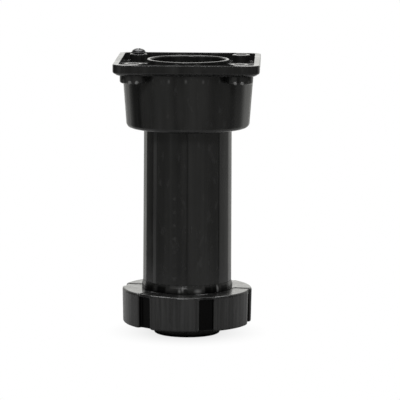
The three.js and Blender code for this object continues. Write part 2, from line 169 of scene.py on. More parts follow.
CIRCLE = 96  # sides of a smooth round wall

# ---- outlines ----


def softened(points, closed=True, steps=4):
    """A polyline whose corners are rounded. Each point is (x, y, radius); radius 0 keeps the corner."""
    out = []
    count = len(points)
    for i, (x, y, radius) in enumerate(points):
        at_end = not closed and i in (0, count - 1)
        if radius <= 0 or at_end:
            out.append((x, y))
            continue
        here = Vector((x, y))
        before = Vector(points[i - 1][:2]) - here
        after = Vector(points[(i + 1) % count][:2]) - here
        half = before.angle(after) / 2
        reach = min(radius / math.tan(half), before.length * 0.49, after.length * 0.49)
        radius = reach * math.tan(half)
        bisector = (before.normalized() + after.normalized()).normalized()
        centre = here + bisector * (radius / math.sin(half))
        start = here + before.normalized() * reach - centre
        end = here + after.normalized() * reach - centre
        first = math.atan2(start.y, start.x)
        turn = (math.atan2(end.y, end.x) - first + math.pi) % math.tau - math.pi
        for k in range(steps + 1):
            angle = first + turn * k / steps
            out.append((centre.x + radius * math.cos(angle), centre.y + radius * math.sin(angle)))
    return out


def square_outline(side, corner):
    half = side / 2
    corners = [(half, -half), (half, half), (-half, half), (-half, -half)]
    return softened([(x, y, corner) for x, y in corners], steps=6)


def polygon_outline(sides, radius, corner, turn=0.0, bulge=0.0):
    """A regular polygon with softened corners and sides that may swell out slightly.

    Its first corner faces the front.
    """
    points = []
    parts = 6 if bulge else 1
    for i in range(sides):
        here = math.tau * i / sides + turn
        there = math.tau * (i + 1) / sides + turn
        middle = (here + there) / 2
        for k in range(parts):
            share = k / parts
            swell = bulge * (1 - (2 * share - 1) ** 2)
            x = radius * (math.sin(here) * (1 - share) + math.sin(there) * share)
            y = -radius * (math.cos(here) * (1 - share) + math.cos(there) * share)
            x += swell * math.sin(middle)
            y -= swell * math.cos(middle)
            points.append((x, y, corner if k == 0 else 0.0))
    return softened(points)


def circle_outline(radius, x=0.0, y=0.0, sides=CIRCLE):
    return [
        (x + radius * math.sin(math.tau * i / sides), y - radius * math.cos(math.tau * i / sides))
        for i in range(sides)
    ]


def box_outline(x0, x1, y0, y1, corner, turn=0.0):
    points = softened([(x1, y0, corner), (x1, y1, corner), (x0, y1, corner), (x0, y0, corner)], steps=3)
    cos, sin = math.cos(turn), math.sin(turn)
    return [(x * cos - y * sin, x * sin + y * cos) for x, y in points]


def quarter(height, edge, up, steps=4):
    """(inset, height) pairs of a rounded edge that ends at height; up is the top edge of a piece."""
    pairs = []
    for k in range(steps + 1):
        angle = math.pi / 2 * k / steps
        inset = edge * (1 - math.cos(angle))
        drop = edge * (1 - math.sin(angle))
        pairs.append((inset, height - drop if up else height + drop))
    return pairs if up else pairs[::-1]


# ---- meshes ----


def new_object(name, mesh):
    piece = bpy.data.objects.new(name, mesh)
    bpy.context.scene.collection.objects.link(piece)
    return piece


def from_faces(name, points, faces):
    """An object from points in millimetres, with its faces turned outwards."""
    mesh = bpy.data.meshes.new(name)
    mesh.from_pydata([tuple(c * MM for c in p) for p in points], [], faces)
    build = bmesh.new()
    build.from_mesh(mesh)
    bmesh.ops.remove_doubles(build, verts=build.verts, dist=1e-7)
    bmesh.ops.recalc_face_normals(build, faces=build.faces)
    build.to_mesh(mesh)
    build.free()
    return new_object(name, mesh)


def lofted(name, levels):
    """A closed solid through (outline, height) levels, each outline with the same number of points."""
    points, faces = [], []
    count = len(levels[0][0])
    for outline, z in levels:
        points += [(x, y, z) for x, y in outline]
    for level in range(len(levels) - 1):
        base = level * count
        for i in range(count):
            j = (i + 1) % count
            faces.append((base + i, base + j, base + count + j, base + count + i))
    faces.append(tuple(reversed(range(count))))
    faces.append(tuple(range(len(points) - count, len(points))))
    return from_faces(name, points, faces)


def prism(name, outline, bottom, top, lower_edge=0.0, upper_edge=0.0):
    """A straight solid whose outline function takes an inset, with rounded lower and upper edges."""
    pairs = quarter(bottom, lower_edge, False) if lower_edge else [(0.0, bottom)]
    pairs += quarter(top, upper_edge, True) if upper_edge else [(0.0, top)]
    return lofted(name, [(outline(inset), z) for inset, z in pairs])


def turned(name, profile, sides=CIRCLE, x=0.0, y=0.0):
    """A solid of revolution. The profile is (radius, height, rounding) going up, closed on the axis."""
    first, last = profile[0], profile[-1]
    whole = [(0.0, first[1], 0.0)] + list(profile) + [(0.0, last[1], 0.0)]
    line = softened(whole, closed=False)
    levels = [(circle_outline(r, x, y, sides), z) for r, z in line[1:-1]]
    return lofted(name, levels)


def mouth(radius, top, depth, widening, rounding=0.0):
    """The upper end of a cutter for a bore whose edge is eased, going on past the face it cuts."""
    return [
        (radius, top - depth, rounding),
        (radius + widening, top + 0.05, 0.0),
        (radius + widening, top + OVERCUT, 0.0),
    ]


def applied(piece):
    """Replaces a piece's mesh by the result of its modifiers."""
    graph = bpy.context.evaluated_depsgraph_get()
    mesh = bpy.data.meshes.new_from_object(piece.evaluated_get(graph))
    piece.modifiers.clear()
    piece.data = mesh
    return piece


def combined(piece, tools, operation):
    """Joins tools to a piece (UNION) or cuts them from it (DIFFERENCE), and removes the tools."""
    for tool in tools:
        step = piece.modifiers.new("step", "BOOLEAN")
        step.operation = operation
        step.solver = "EXACT"
        step.object = tool
    applied(piece)
    for tool in tools:
        bpy.data.objects.remove(tool)
    return piece


def finished(piece, material, body, node, crease=32.0):
    """Shading, material and place in the frame for a piece that stands for a CAD node."""
    build = bmesh.new()
    build.from_mesh(piece.data)
    bmesh.ops.remove_doubles(build, verts=build.verts, dist=2e-7)
    bmesh.ops.dissolve_degenerate(build, edges=build.edges, dist=1e-7)
    build.to_mesh(piece.data)
    build.free()
    piece.data.materials.clear()
    piece.data.materials.append(material)
    piece.data.shade_smooth()
    piece.data.set_sharp_from_angle(angle=math.radians(crease))
    weighted = piece.modifiers.new("flat_faces_stay_flat", "WEIGHTED_NORMAL")
    weighted.keep_sharp = True
    weighted.weight = 80
    applied(piece)
    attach(piece, body)
    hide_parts(node)
    return piece


# ---- materials ----

BLACK = (0.010, 0.010, 0.0098)
DULL_BLACK = (0.009, 0.009, 0.0088)
GLOSS = 0.22  # roughness of the big mouldings
BUSH_GLOSS = 0.24
DULL = 0.38
FINE_GRAIN = 0.8  # height of the grain in the bump, against STREAK_HEIGHT
BUSH_GRAIN = 1.0
DULL_GRAIN = 1.2
STREAK_HEIGHT = 1.6
PLASTIC_IOR = 1.47
FULL_SPECULAR = 0.5  # the shader's own level for a clean surface
EDGE_ROUNDING = 0.25 * MM
PLASTIC_RELIEF = 0.03 * MM
STEEL_RELIEF = 0.02 * MM

# Noise scales, in cycles a metre.
STREAKS = 60.0
CLOUDS = 90.0
BREAKS = 140.0
SHEEN_PATCHES = 160.0
SCUFFS = 240.0
FADES = 260.0
BLOTCHES = 300.0
DARK_STREAK_PATCHES = 330.0
STEEL_CLOUDS = 400.0
PORES = 900.0
TURNING = 1500.0
GRAIN = 2600.0


def grey(level):
    return (level, level, level, 1.0)


# Tones that wear, moulding marks, painted highlights, painted sheen and painted shade mix in.
RUBBED_TONE = (0.06, 0.06, 0.063, 1.0)
SCUFF_TONE = grey(0.05)
KNOB_HIGHLIGHT_TONE = grey(0.26)
ARRIS_GLINT_TONE = grey(0.10)
PALE_MARK_AND_HIGHLIGHT_TONE = grey(0.05)
GLINT_TONE = grey(0.16)
LOBE_SHEEN_TONE = grey(0.034)
LOBE_DARK_STREAK_TONE = grey(0.004)
GROOVE_SHADE_TONE = grey(0.002)
PAINTED_SHADE_TONE = grey(0.001)

STEEL_DARK = (0.009, 0.009, 0.010, 1.0)
STEEL_PALE = (0.022, 0.022, 0.023, 1.0)
STEEL_EDGE = (0.25, 0.25, 0.26, 1.0)


class Nodes:
    """A small helper to write a node material as plain lines. Lengths are in metres."""

    def __init__(self, name):
        self.material = bpy.data.materials.new(name)
        self.material.use_nodes = True
        self.tree = self.material.node_tree
        self.shader = self.tree.nodes["Principled BSDF"]
        self.place = self.tree.nodes.new("ShaderNodeTexCoord").outputs["Object"]

    def link(self, source, target):
        self.tree.links.new(source, target)

    def feed(self, slot, value):
        """Links a socket, or sets a plain value."""
        if isinstance(value, bpy.types.NodeSocket):
            self.link(value, slot)
        else:
            slot.default_value = value

    def node(self, kind, **inputs):
        made = self.tree.nodes.new(kind)
        for key, value in inputs.items():
            self.feed(made.inputs[key.replace("_", " ")], value)
        return made

    def stretched(self, x, y, z):
        mapping = self.node("ShaderNodeMapping", Vector=self.place)
        mapping.inputs["Scale"].default_value = (x, y, z)
        return mapping.outputs["Vector"]

    def noise(self, scale, detail, vector=None):
        made = self.node("ShaderNodeTexNoise", Vector=vector or self.place, Scale=scale, Detail=detail)
        return made.outputs["Fac"]

    def ranged(self, value, from_low, from_high, to_low, to_high):
        """Carries a value from one range to another and holds it inside."""
        made = self.node("ShaderNodeMapRange", Value=value)
        limits = {"From Min": from_low, "From Max": from_high, "To Min": to_low, "To Max": to_high}
        for key, number in limits.items():
            made.inputs[key].default_value = number
        return made.outputs["Result"]

    def math(self, operation, a, b=0.0):
        made = self.tree.nodes.new("ShaderNodeMath")
        made.operation = operation
        self.feed(made.inputs[0], a)
        self.feed(made.inputs[1], b)
        return made.outputs["Value"]

    def folded(self, operation, values):
        result = values[0]
        for value in values[1:]:
            result = self.math(operation, result, value)
        return result

    def times(self, *values):
        return self.folded("MULTIPLY", values)

    def plus(self, *values):
        return self.folded("ADD", values)

    def near(self, value, centre, reach):
        """1 where a value is at centre, falling to 0 at reach on either side."""
        away = self.math("ABSOLUTE", self.math("SUBTRACT", value, centre))
        return self.ranged(away, 0.0, reach, 1.0, 0.0)

    def coordinate(self, axis):
        return self.node("ShaderNodeSeparateXYZ", Vector=self.place).outputs[axis]

    def bearing(self):
        """Angle round the upright axis from the front, right positive, in radians."""
        return self.math("ARCTAN2", self.coordinate("X"), self.times(self.coordinate("Y"), -1.0))

    def from_axis(self):
        """Distance from the upright axis."""
        squares = [self.times(self.coordinate(axis), self.coordinate(axis)) for axis in ("X", "Y")]
        return self.math("SQRT", self.plus(*squares))

    def surface(self, output):
        return self.tree.nodes.new("ShaderNodeNewGeometry").outputs[output]

    def slope(self):
        """1 on a face that looks up, 0 on an upright one and -1 on one that looks down."""
        return self.node("ShaderNodeSeparateXYZ", Vector=self.surface("Normal")).outputs["Z"]

    def mix(self, factor, first, second):
        made = self.tree.nodes.new("ShaderNodeMix")
        made.data_type = "RGBA"
        for key, value in (("Factor_Float", factor), ("A_Color", first), ("B_Color", second)):
            self.feed(next(s for s in made.inputs if s.identifier == key), value)
        return next(s for s in made.outputs if s.identifier == "Result_Color")

    def chosen(self, factor, first, second):
        """A shader that is the first where the factor is 0 and the second where it is 1."""
        made = self.tree.nodes.new("ShaderNodeMixShader")
        self.feed(made.inputs["Fac"], factor)
        self.link(first, made.inputs[1])
        self.link(second, made.inputs[2])
        return made.outputs["Shader"]

    def toned(self, mask, tone):
        """Mixes a tone into the base colour where the mask is 1."""
        base = self.shader.inputs["Base Color"]
        self.link(self.mix(mask, base.links[0].from_socket, tone), base)

    def relief(self, heights, strength, distance, normal=None):
        bump = self.node("ShaderNodeBump", Height=heights, Strength=strength, Distance=distance)
        if normal is not None:
            self.link(normal, bump.inputs["Normal"])
        self.link(bump.outputs["Normal"], self.shader.inputs["Normal"])


def moulded_plastic(name, colour, roughness, grain):
    """Black moulded plastic: fine grain, upright flow streaks, rubbed edges and scuffs.

    It gives back the Nodes, so that each moulding can add marks of its own.
    """
    n = Nodes(name)
    streaks = n.noise(STREAKS, 3.0, n.stretched(6.0, 6.0, 0.25))
    bands = n.noise(STREAKS, 2.0, n.stretched(2.2, 2.2, 0.1))
    cloud = n.noise(CLOUDS, 4.0)
    fine = n.noise(GRAIN, 2.0)
    pores = n.noise(PORES, 3.0)
    scuffs = n.ranged(n.noise(SCUFFS, 5.0, n.stretched(1.5, 1.5, 0.6)), 0.60, 0.70, 0.0, 1.0)
    edges = n.ranged(n.surface("Pointiness"), 0.53, 0.62, 0.0, 1.0)
    rubbed = n.times(edges, n.ranged(pores, 0.35, 0.65, 0.2, 1.0))
    shade = n.plus(
        n.ranged(bands, 0.35, 0.65, -0.45, 0.55),
        n.ranged(streaks, 0.35, 0.65, -0.2, 0.3),
        n.ranged(cloud, 0.3, 0.7, 0.9, 1.2),
    )
    twice = (*[2 * c for c in colour], 1.0)
    n.link(n.mix(n.times(shade, 0.5), grey(0.0), twice), n.shader.inputs["Base Color"])
    n.toned(n.times(rubbed, 0.35), RUBBED_TONE)
    n.toned(n.times(scuffs, 0.3), SCUFF_TONE)
    rough = n.plus(
        n.ranged(cloud, 0.25, 0.75, roughness - 0.04, roughness + 0.05),
        n.ranged(streaks, 0.3, 0.7, -0.04, 0.04),
    )
    n.link(rough, n.shader.inputs["Roughness"])
    n.shader.inputs["IOR"].default_value = PLASTIC_IOR
    heights = n.plus(n.times(fine, grain), n.times(streaks, STREAK_HEIGHT), n.times(pores, grain * 1.4))
    bevel = n.node("ShaderNodeBevel", Radius=EDGE_ROUNDING)
    bevel.samples = 6
    n.relief(heights, 0.4, PLASTIC_RELIEF, bevel.outputs["Normal"])
    return n


def socket_plastic(name):
    """Painted highlights on the collar knobs and where the cup's arrises meet the plate; painted shade on
    the rims and ring, whose reflection is taken off in places.
    """
    n = moulded_plastic(name, BLACK, GLOSS, FINE_GRAIN)
    across = n.math("ABSOLUTE", n.coordinate("X"))
    along = n.math("ABSOLUTE", n.coordinate("Y"))
    height = n.coordinate("Z")
    mirrored = n.node("ShaderNodeCombineXYZ", X=across, Y=along, Z=height)
    for place in pip_places(1, 1):
        away = n.node("ShaderNodeVectorMath", Vector=mirrored.outputs["Vector"])
        away.operation = "DISTANCE"
        away.inputs[1].default_value = [c * MM for c in place]
        # Painted highlight: a pale spot on each collar knob.
        knob = n.ranged(away.outputs["Value"], PIP_R * 0.9 * MM, PIP_R * 1.15 * MM, 1.0, 0.0)
        n.toned(n.times(knob, 0.9), KNOB_HIGHLIGHT_TONE)
    # Painted highlights: pale marks where the cup's arrises meet the underside of the plate.
    ripple = n.math("COSINE", n.times(n.bearing(), float(CUP_SIDES)))
    arrises = n.ranged(ripple, 0.85, 1.0, 0.0, 1.0)
    under_plate = n.near(height, (PLATE_TOP - COLLAR_DROP + 1.2) * MM, 1.2 * MM)
    outside = n.ranged(n.from_axis(), (CUP_BOTTOM_R + 0.3) * MM, (CUP_BOTTOM_R + 0.8) * MM, 0.0, 1.0)
    n.toned(n.times(arrises, under_plate, n.noise(BLOTCHES, 2.0), outside, 1.2), ARRIS_GLINT_TONE)
    # Painted shade: the reflection is taken off the middle of the front and back rims and off the ring's
    # sides.
    upward = n.ranged(n.slope(), 0.3, 0.7, 0.0, 1.0)
    middle = n.ranged(across, SHADED_RIM_HALF * MM, (SHADED_RIM_HALF + 4.0) * MM, 1.0, 0.0)
    inner_edge = PLATE_SIDE / 2 - RIM_WALL
    rims = n.ranged(along, (inner_edge - 0.7) * MM, (inner_edge - 0.3) * MM, 0.0, 1.0)
    ring = n.ranged(n.from_axis(), SLEEVE_R * MM, (SLEEVE_R + 0.2) * MM, 0.6, 0.0)
    ring_ends = n.ranged(along, 6.0 * MM, 12.0 * MM, 0.0, 1.0)
    painted_rim_shade = n.math("MAXIMUM", n.times(upward, middle, rims), n.times(ring, upward, ring_ends))
    n.link(n.ranged(painted_rim_shade, 0.0, 1.0, FULL_SPECULAR, 0.0), n.shader.inputs["Specular IOR Level"])
    return n.material


def tube_plastic(name):
    """A painted highlight along one arris, thin painted dark reflection lines and a column of small
    moulding marks.
    """
    n = moulded_plastic(name, BLACK, GLOSS, FINE_GRAIN)
    bearing = n.bearing()
    height = n.coordinate("Z")
    broken = n.ranged(n.noise(BREAKS, 3.0, n.stretched(1.0, 1.0, 0.3)), 0.3, 0.6, 0.6, 1.0)
    # Painted highlight along an arris of the tube.
    for degrees, half, strength in PAINTED_ARRIS_HIGHLIGHTS:
        line = n.near(bearing, math.radians(degrees), math.radians(half))
        n.toned(n.times(n.ranged(line, 0.1, 0.5, 0.0, 1.0), broken, strength), PALE_MARK_AND_HIGHLIGHT_TONE)
    # Painted dark reflections: thin dark lines down the tube.
    for degrees in PAINTED_DARK_REFLECTIONS:
        seam = n.near(bearing, math.radians(degrees), math.radians(1.6))
        n.toned(n.times(seam, 0.9), PAINTED_SHADE_TONE)
    column = n.near(bearing, TICK_ANGLE, math.radians(3.0))
    phase = n.times(n.math("SUBTRACT", height, TICK_LOW * MM), math.tau / (TICK_STEP * MM))
    beads = n.ranged(n.math("COSINE", phase), 0.55, 1.0, 0.0, 1.0)
    middle = TICK_LOW + TICK_STEP * (TICK_COUNT - 1) / 2
    span = n.ranged(n.near(height, middle * MM, TICK_STEP * TICK_COUNT / 2 * MM), 0.0, 0.1, 0.0, 1.0)
    faint = n.ranged(n.noise(FADES, 2.0), 0.35, 0.65, 0.05, 0.7)
    n.toned(n.times(beads, column, span, faint), PALE_MARK_AND_HIGHLIGHT_TONE)
    return n.material


def bush_plastic(name):
    """Painted shade on some of the collar's slanting flats, with their reflection turned down, and a few
    painted glints at its foot.
    """
    n = moulded_plastic(name, DULL_BLACK, BUSH_GLOSS, BUSH_GRAIN)
    bearing = n.bearing()
    height = n.coordinate("Z")
    below_seam = n.ranged(height, (BUSH_COLLAR_TOP - 1.2) * MM, BUSH_COLLAR_TOP * MM, 1.0, 0.0)
    specular = FULL_SPECULAR
    # Painted shade on the collar's slanting flats, with less reflection there.
    for degrees, half in COLLAR_PAINTED_SHADE:
        flat = n.near(bearing, math.radians(degrees), math.radians(half))
        painted_shade = n.times(n.ranged(flat, 0.0, 0.35, 0.0, 1.0), below_seam)
        n.toned(painted_shade, PAINTED_SHADE_TONE)
        specular = n.times(specular, n.ranged(painted_shade, 0.0, 1.0, 1.0, 0.25))
    n.link(specular, n.shader.inputs["Specular IOR Level"])
    # Painted glints at the collar's foot.
    for degrees, half, z, reach in COLLAR_GLINTS:
        glint = n.times(
            n.near(bearing, math.radians(degrees), math.radians(half)),
            n.near(height, (BUSH_BOTTOM + z) * MM, reach * MM),
        )
        n.toned(n.times(glint, 1.3), GLINT_TONE)
    return n.material


def wheel_plastic(name):
    """A painted sheen on the lobes, broken by darker streaks, and painted shade inside the grooves, where
    the reflection is mostly taken off.
    """
    n = moulded_plastic(name, BLACK, GLOSS, FINE_GRAIN)
    from_axis = n.from_axis()
    upright = n.ranged(n.math("ABSOLUTE", n.slope()), 0.35, 0.7, 1.0, 0.0)
    outer = n.ranged(from_axis, (WHEEL_R - 1.4) * MM, (WHEEL_R - 0.7) * MM, 0.0, 1.0)
    rim = n.ranged(from_axis, (WHEEL_R - 6.0) * MM, (WHEEL_R - 5.0) * MM, 0.0, 1.0)
    lobes = n.times(upright, outer)
    grooves = n.times(upright, rim, n.math("SUBTRACT", 1.0, outer))
    # Painted sheen: the lobes' upright faces are made greyer in patches.
    sheen = n.ranged(n.noise(SHEEN_PATCHES, 4.0, n.stretched(2.5, 2.5, 0.12)), 0.36, 0.64, 0.0, 0.9)
    n.toned(n.times(lobes, sheen), LOBE_SHEEN_TONE)
    # Darker streaks across the lobes' painted sheen.
    dark_streaks = n.ranged(n.noise(DARK_STREAK_PATCHES, 2.0, n.stretched(1.0, 1.0, 0.03)), 0.54, 0.64, 0.0, 0.75)
    n.toned(n.times(lobes, dark_streaks), LOBE_DARK_STREAK_TONE)
    # Painted shade: the grooves are darkened and their reflection mostly taken off.
    n.toned(grooves, GROOVE_SHADE_TONE)
    n.link(n.ranged(grooves, 0.0, 1.0, FULL_SPECULAR, 0.08), n.shader.inputs["Specular IOR Level"])
    return n.material


def screw_steel(name):
    """Blackened steel with fine turning marks and brighter rubbed edges."""
    n = Nodes(name)
    rings = n.noise(TURNING, 2.0, n.stretched(0.2, 0.2, 4.0))
    cloud = n.noise(STEEL_CLOUDS, 4.0)
    edges = n.ranged(n.surface("Pointiness"), 0.54, 0.64, 0.0, 1.0)
    base = n.mix(n.ranged(cloud, 0.3, 0.7, 0.0, 1.0), STEEL_DARK, STEEL_PALE)
    n.link(n.mix(n.times(edges, 0.15), base, STEEL_EDGE), n.shader.inputs["Base Color"])
    n.shader.inputs["Metallic"].default_value = 0.3
    n.link(n.ranged(cloud, 0.2, 0.8, 0.22, 0.36), n.shader.inputs["Roughness"])
    n.relief(rings, 0.3, STEEL_RELIEF)
    return n.material


# ---- the socket ----

QUARTERS = [math.tau * i / 4 for i in range(4)]


def turned_point(x, y, angle):
    cos, sin = math.cos(angle), math.sin(angle)
    return x * cos - y * sin, x * sin + y * cos


def socket_plate():
    """The plate's outer block: rounded top edge, upright wall, then the bevel that leans in."""
    upright = PLATE_TOP - RIM_DROP
    bottom = upright - BEVEL_DROP
    pairs = [(BEVEL_IN, bottom), (BEVEL_IN * 0.55, bottom + BEVEL_DROP * 0.3)]
    pairs += [(0.25, upright - 0.1), (0.06, upright + 0.25), (0.0, upright + 0.7)]
    pairs += quarter(PLATE_TOP, 0.35, True)
    levels = [(square_outline(PLATE_SIDE - 2 * inset, PLATE_CORNER - inset), z) for inset, z in pairs]
    return lofted("mounting_socket_body", levels)


def cup_radius(z):
    share = (z - CUP_BOTTOM) / (PLATE_TOP - CUP_BOTTOM)
    return CUP_BOTTOM_R + (CUP_TOP_R - CUP_BOTTOM_R) * share


def socket_cup():
    top = PLATE_TOP - RIM_DROP
    pairs = [(inset, z) for inset, z in quarter(CUP_BOTTOM, 1.9, False, steps=6)]
    pairs += [(0.0, z) for z in (CUP_BOTTOM + 8, CUP_BOTTOM + 16, top)]
    levels = [(polygon_outline(CUP_SIDES, cup_radius(z) - inset, CUP_ARRIS), z) for inset, z in pairs]
    return lofted("cup", levels)


def tower(angle):
    """A corner tower with its wider collar below the plate."""
    x, y = turned_point(-TOWER_PITCH / 2, -TOWER_PITCH / 2, angle)
    bottom = PLATE_TOP - COLLAR_DROP
    inside_floor = PLATE_TOP - RIM_DROP - BEVEL_DROP + TRAY_FLOOR / 2
    profile = [
        (COLLAR_R, bottom, 1.0),
        (COLLAR_R, inside_floor, 0.0),
        (TOWER_R, inside_floor + 0.1, 0.0),
        (TOWER_R, PLATE_TOP, 0.35),
    ]
    return turned("tower", profile, sides=ROUND, x=x, y=y)


def web(angle, offset, drop):
    """The two parts of one web, deep inside the cup and shallow across the tray, ending below the rim."""
    def blade(far, bottom):
        def outline(inset):
            left = offset - WEB_THICK / 2 + inset
            right = offset + WEB_THICK / 2 - inset
            return box_outline(left, right, -far, -(SLEEVE_R - 0.7), 0.0, angle)
        return prism("web", outline, bottom, PLATE_TOP - drop, upper_edge=0.3)
    inside = blade(cup_radius(CUP_BOTTOM) - CUP_WALL / 2, CUP_BOTTOM + CUP_FLOOR - 0.5)
    tray_floor = PLATE_TOP - RIM_DROP - BEVEL_DROP + TRAY_FLOOR
    return [inside, blade(PLATE_SIDE / 2 - RIM_WALL / 2, tray_floor - 0.3)]


def ball(name, x, y, z, radius):
    """A small round knob, as a turned half circle."""
    steps = 8
    profile = []
    for k in range(steps + 1):
        angle = math.pi * (0.02 + 0.96 * k / steps) - math.pi / 2  # stops just short of the poles
        profile.append((radius * math.cos(angle), z + radius * math.sin(angle), 0.0))
    return turned(name, profile, sides=20, x=x, y=y)


def pip_places(side, face):
    """Centres of one corner collar's two knobs."""
    places = []
    for angle in PIP_ANGLES:
        turn = math.radians(angle)
        reach = COLLAR_R - PIP_SUNK
        x = side * (TOWER_PITCH / 2 - reach * math.sin(turn))
        y = face * (TOWER_PITCH / 2 + reach * math.cos(turn))
        places.append((x, y, PLATE_TOP - COLLAR_DROP + PIP_R * 0.9))
    return places


def collar_pips():
    """Two round moulded knobs at the foot of each corner collar, facing the front and the back."""
    pips = []
    for side in (-1, 1):
        for face in (-1, 1):
            for place in pip_places(side, face):
                pips.append(ball("pip", *place, PIP_R))
    return pips


def mounting_socket(material):
    upright = PLATE_TOP - RIM_DROP
    tray_floor = upright - BEVEL_DROP + TRAY_FLOOR
    cup_floor = CUP_BOTTOM + CUP_FLOOR
    shell = combined(socket_plate(), [socket_cup()], "UNION")
    tray_side = PLATE_SIDE - 2 * RIM_WALL
    tray = prism(
        "tray",
        lambda inset: square_outline(tray_side - 2 * inset, PLATE_CORNER - RIM_WALL - inset),
        tray_floor, PLATE_TOP + OVERCUT, lower_edge=0.5,
    )
    pairs = [(inset + CUP_WALL, z) for inset, z in quarter(cup_floor, 1.0, False)]
    pairs += [(CUP_WALL, cup_floor + 12), (CUP_WALL, PLATE_TOP + OVERCUT)]
    hollow = lofted(
        "hollow",
        [(polygon_outline(CUP_SIDES, cup_radius(z) - inset, CUP_ARRIS), z) for inset, z in pairs],
    )
    combined(shell, [tray, hollow], "DIFFERENCE")
    parts = [turned("sleeve", [(SLEEVE_R, CUP_BOTTOM + 0.6, 0.0), (SLEEVE_R, PLATE_TOP, 0.3)])]
    for index, angle in enumerate(QUARTERS):
        drop = SIDE_WEB_DROP if index % 2 else FRONT_WEB_DROP
        parts += web(angle, -WEB_OFFSET, drop) + web(angle, WEB_OFFSET, drop)
        parts.append(tower(angle))
    parts += collar_pips()
    combined(shell, parts, "UNION")
    bores = [
        turned("bore", [
            (SLEEVE_BORE_R + 0.5, CUP_BOTTOM - OVERCUT, 0.0),
            (SLEEVE_BORE_R + 0.5, CUP_BOTTOM + 0.1, 0.3),
            (SLEEVE_BORE_R, CUP_BOTTOM + 0.7, 0.3),
            *mouth(SLEEVE_BORE_R, PLATE_TOP, 0.45, 0.45, 0.5),
        ])
    ]
    collar_bottom = PLATE_TOP - COLLAR_DROP
    for angle in QUARTERS:
        x, y = turned_point(-TOWER_PITCH / 2, -TOWER_PITCH / 2, angle)
        profile = [
            (TOWER_BORE_R + 0.4, collar_bottom - OVERCUT, 0.0),
            (TOWER_BORE_R + 0.4, collar_bottom + 0.05, 0.2),
            (TOWER_BORE_R, collar_bottom + 0.45, 0.2),
            *mouth(TOWER_BORE_R, PLATE_TOP, 0.3, 0.3, 0.3),
        ]
        bores.append(turned("screw_bore", profile, sides=ROUND, x=x, y=y))
    combined(shell, bores, "DIFFERENCE")
    return finished(shell, material, "socket", "mounting_socket")


# ---- threads ----


def threaded_rod(name, core, crest, root, top_width, pitch, start, bottom, top, sides, rows, fade=None):
    """A rod with a right-handed ridge, drawn as a fine grid of points round the axis.

    fade is the height over which the ridge rises at either end, or None for a ridge that runs out
    through both ends.
    """
    levels = []
    for row in range(rows + 1):
        z = bottom + (top - bottom) * row / rows
        outline = []
        for i in range(sides):
            angle = math.tau * i / sides
            along = (z - start - pitch * angle / math.tau + pitch / 2) % pitch - pitch / 2
            slope = (root / 2 - abs(along)) / (root / 2 - top_width / 2)
            height = min(1.0, max(0.0, slope))
            height = height * height * (3 - 2 * height)
            if fade is not None:
                into = min(z - start + fade, top - pitch / 2 - z) / fade
                height *= min(1.0, max(0.0, into))
            r = core + (crest - core) * height
            outline.append((r * math.cos(angle), r * math.sin(angle)))
        levels.append((outline, z))
    return lofted(name, levels)


# ---- the screw ----

HEAD_R = 3.5
HEAD_HEIGHT = 2.1
FLANGE_HEIGHT = 0.5
DOME_R = 3.0
DOME_STEPS = 10
RECESS_LENGTH = 4.0
RECESS_WIDTH = 0.75
RECESS_DEPTH = 1.3
RECESS_TURN = math.radians(20)
SCREW_CORE_R = 1.2
SCREW_CREST_R = 1.75
SCREW_PITCH = 1.6
SCREW_LENGTH = 16.0
SCREW_POINT = 3.0


def moved(piece, x, y, z):
    piece.data.transform(Matrix.Translation((x * MM, y * MM, z * MM)))
    return piece


def corner_screw(material):
    head_line = [(HEAD_R - 0.15, 0.0, 0.0), (HEAD_R, 0.15, 0.0), (HEAD_R, FLANGE_HEIGHT, 0.12)]
    rise = HEAD_HEIGHT - FLANGE_HEIGHT
    for k in range(DOME_STEPS):
        angle = math.pi / 2 * k / DOME_STEPS
        head_line.append((DOME_R * math.cos(angle), FLANGE_HEIGHT + rise * math.sin(angle), 0.0))
    head = turned("corner_screw_body", head_line, sides=64)
    shank = threaded_rod(
        "shank", SCREW_CORE_R, SCREW_CREST_R, 0.9, 0.2, SCREW_PITCH, SCREW_POINT - SCREW_LENGTH,
        -SCREW_LENGTH, 0.5, sides=32, rows=150, fade=0.8,
    )
    for corner in shank.data.vertices:
        over_point = SCREW_POINT - SCREW_LENGTH - corner.co.z / MM
        if over_point > 0:
            shrink = 1 - 0.92 * over_point / SCREW_POINT
            corner.co.x *= shrink
            corner.co.y *= shrink
    combined(head, [shank], "UNION")
    arms = []
    for turn in (RECESS_TURN, RECESS_TURN + math.pi / 2):
        half, thick = RECESS_LENGTH / 2, RECESS_WIDTH / 2
        levels = []
        for height, grow in ((-RECESS_DEPTH, -0.12), (-0.2, 0.0), (0.5, 0.3)):
            long, wide = half + grow, thick + grow
            levels.append((box_outline(-long, long, -wide, wide, thick * 0.8, turn), HEAD_HEIGHT + height))
        arms.append(lofted("arm", levels))
    combined(head, arms, "DIFFERENCE")
    moved(head, -TOWER_PITCH / 2, TOWER_PITCH / 2, PLATE_TOP + GAP)
    return finished(head, material, "socket", "corner_screw", crease=40)


# ---- the leg tube ----

def tube_radius(z):
    return TUBE_BOTTOM_R + (TUBE_TOP_R - TUBE_BOTTOM_R) * (z - TUBE_BOTTOM) / (SHOULDER - TUBE_BOTTOM)


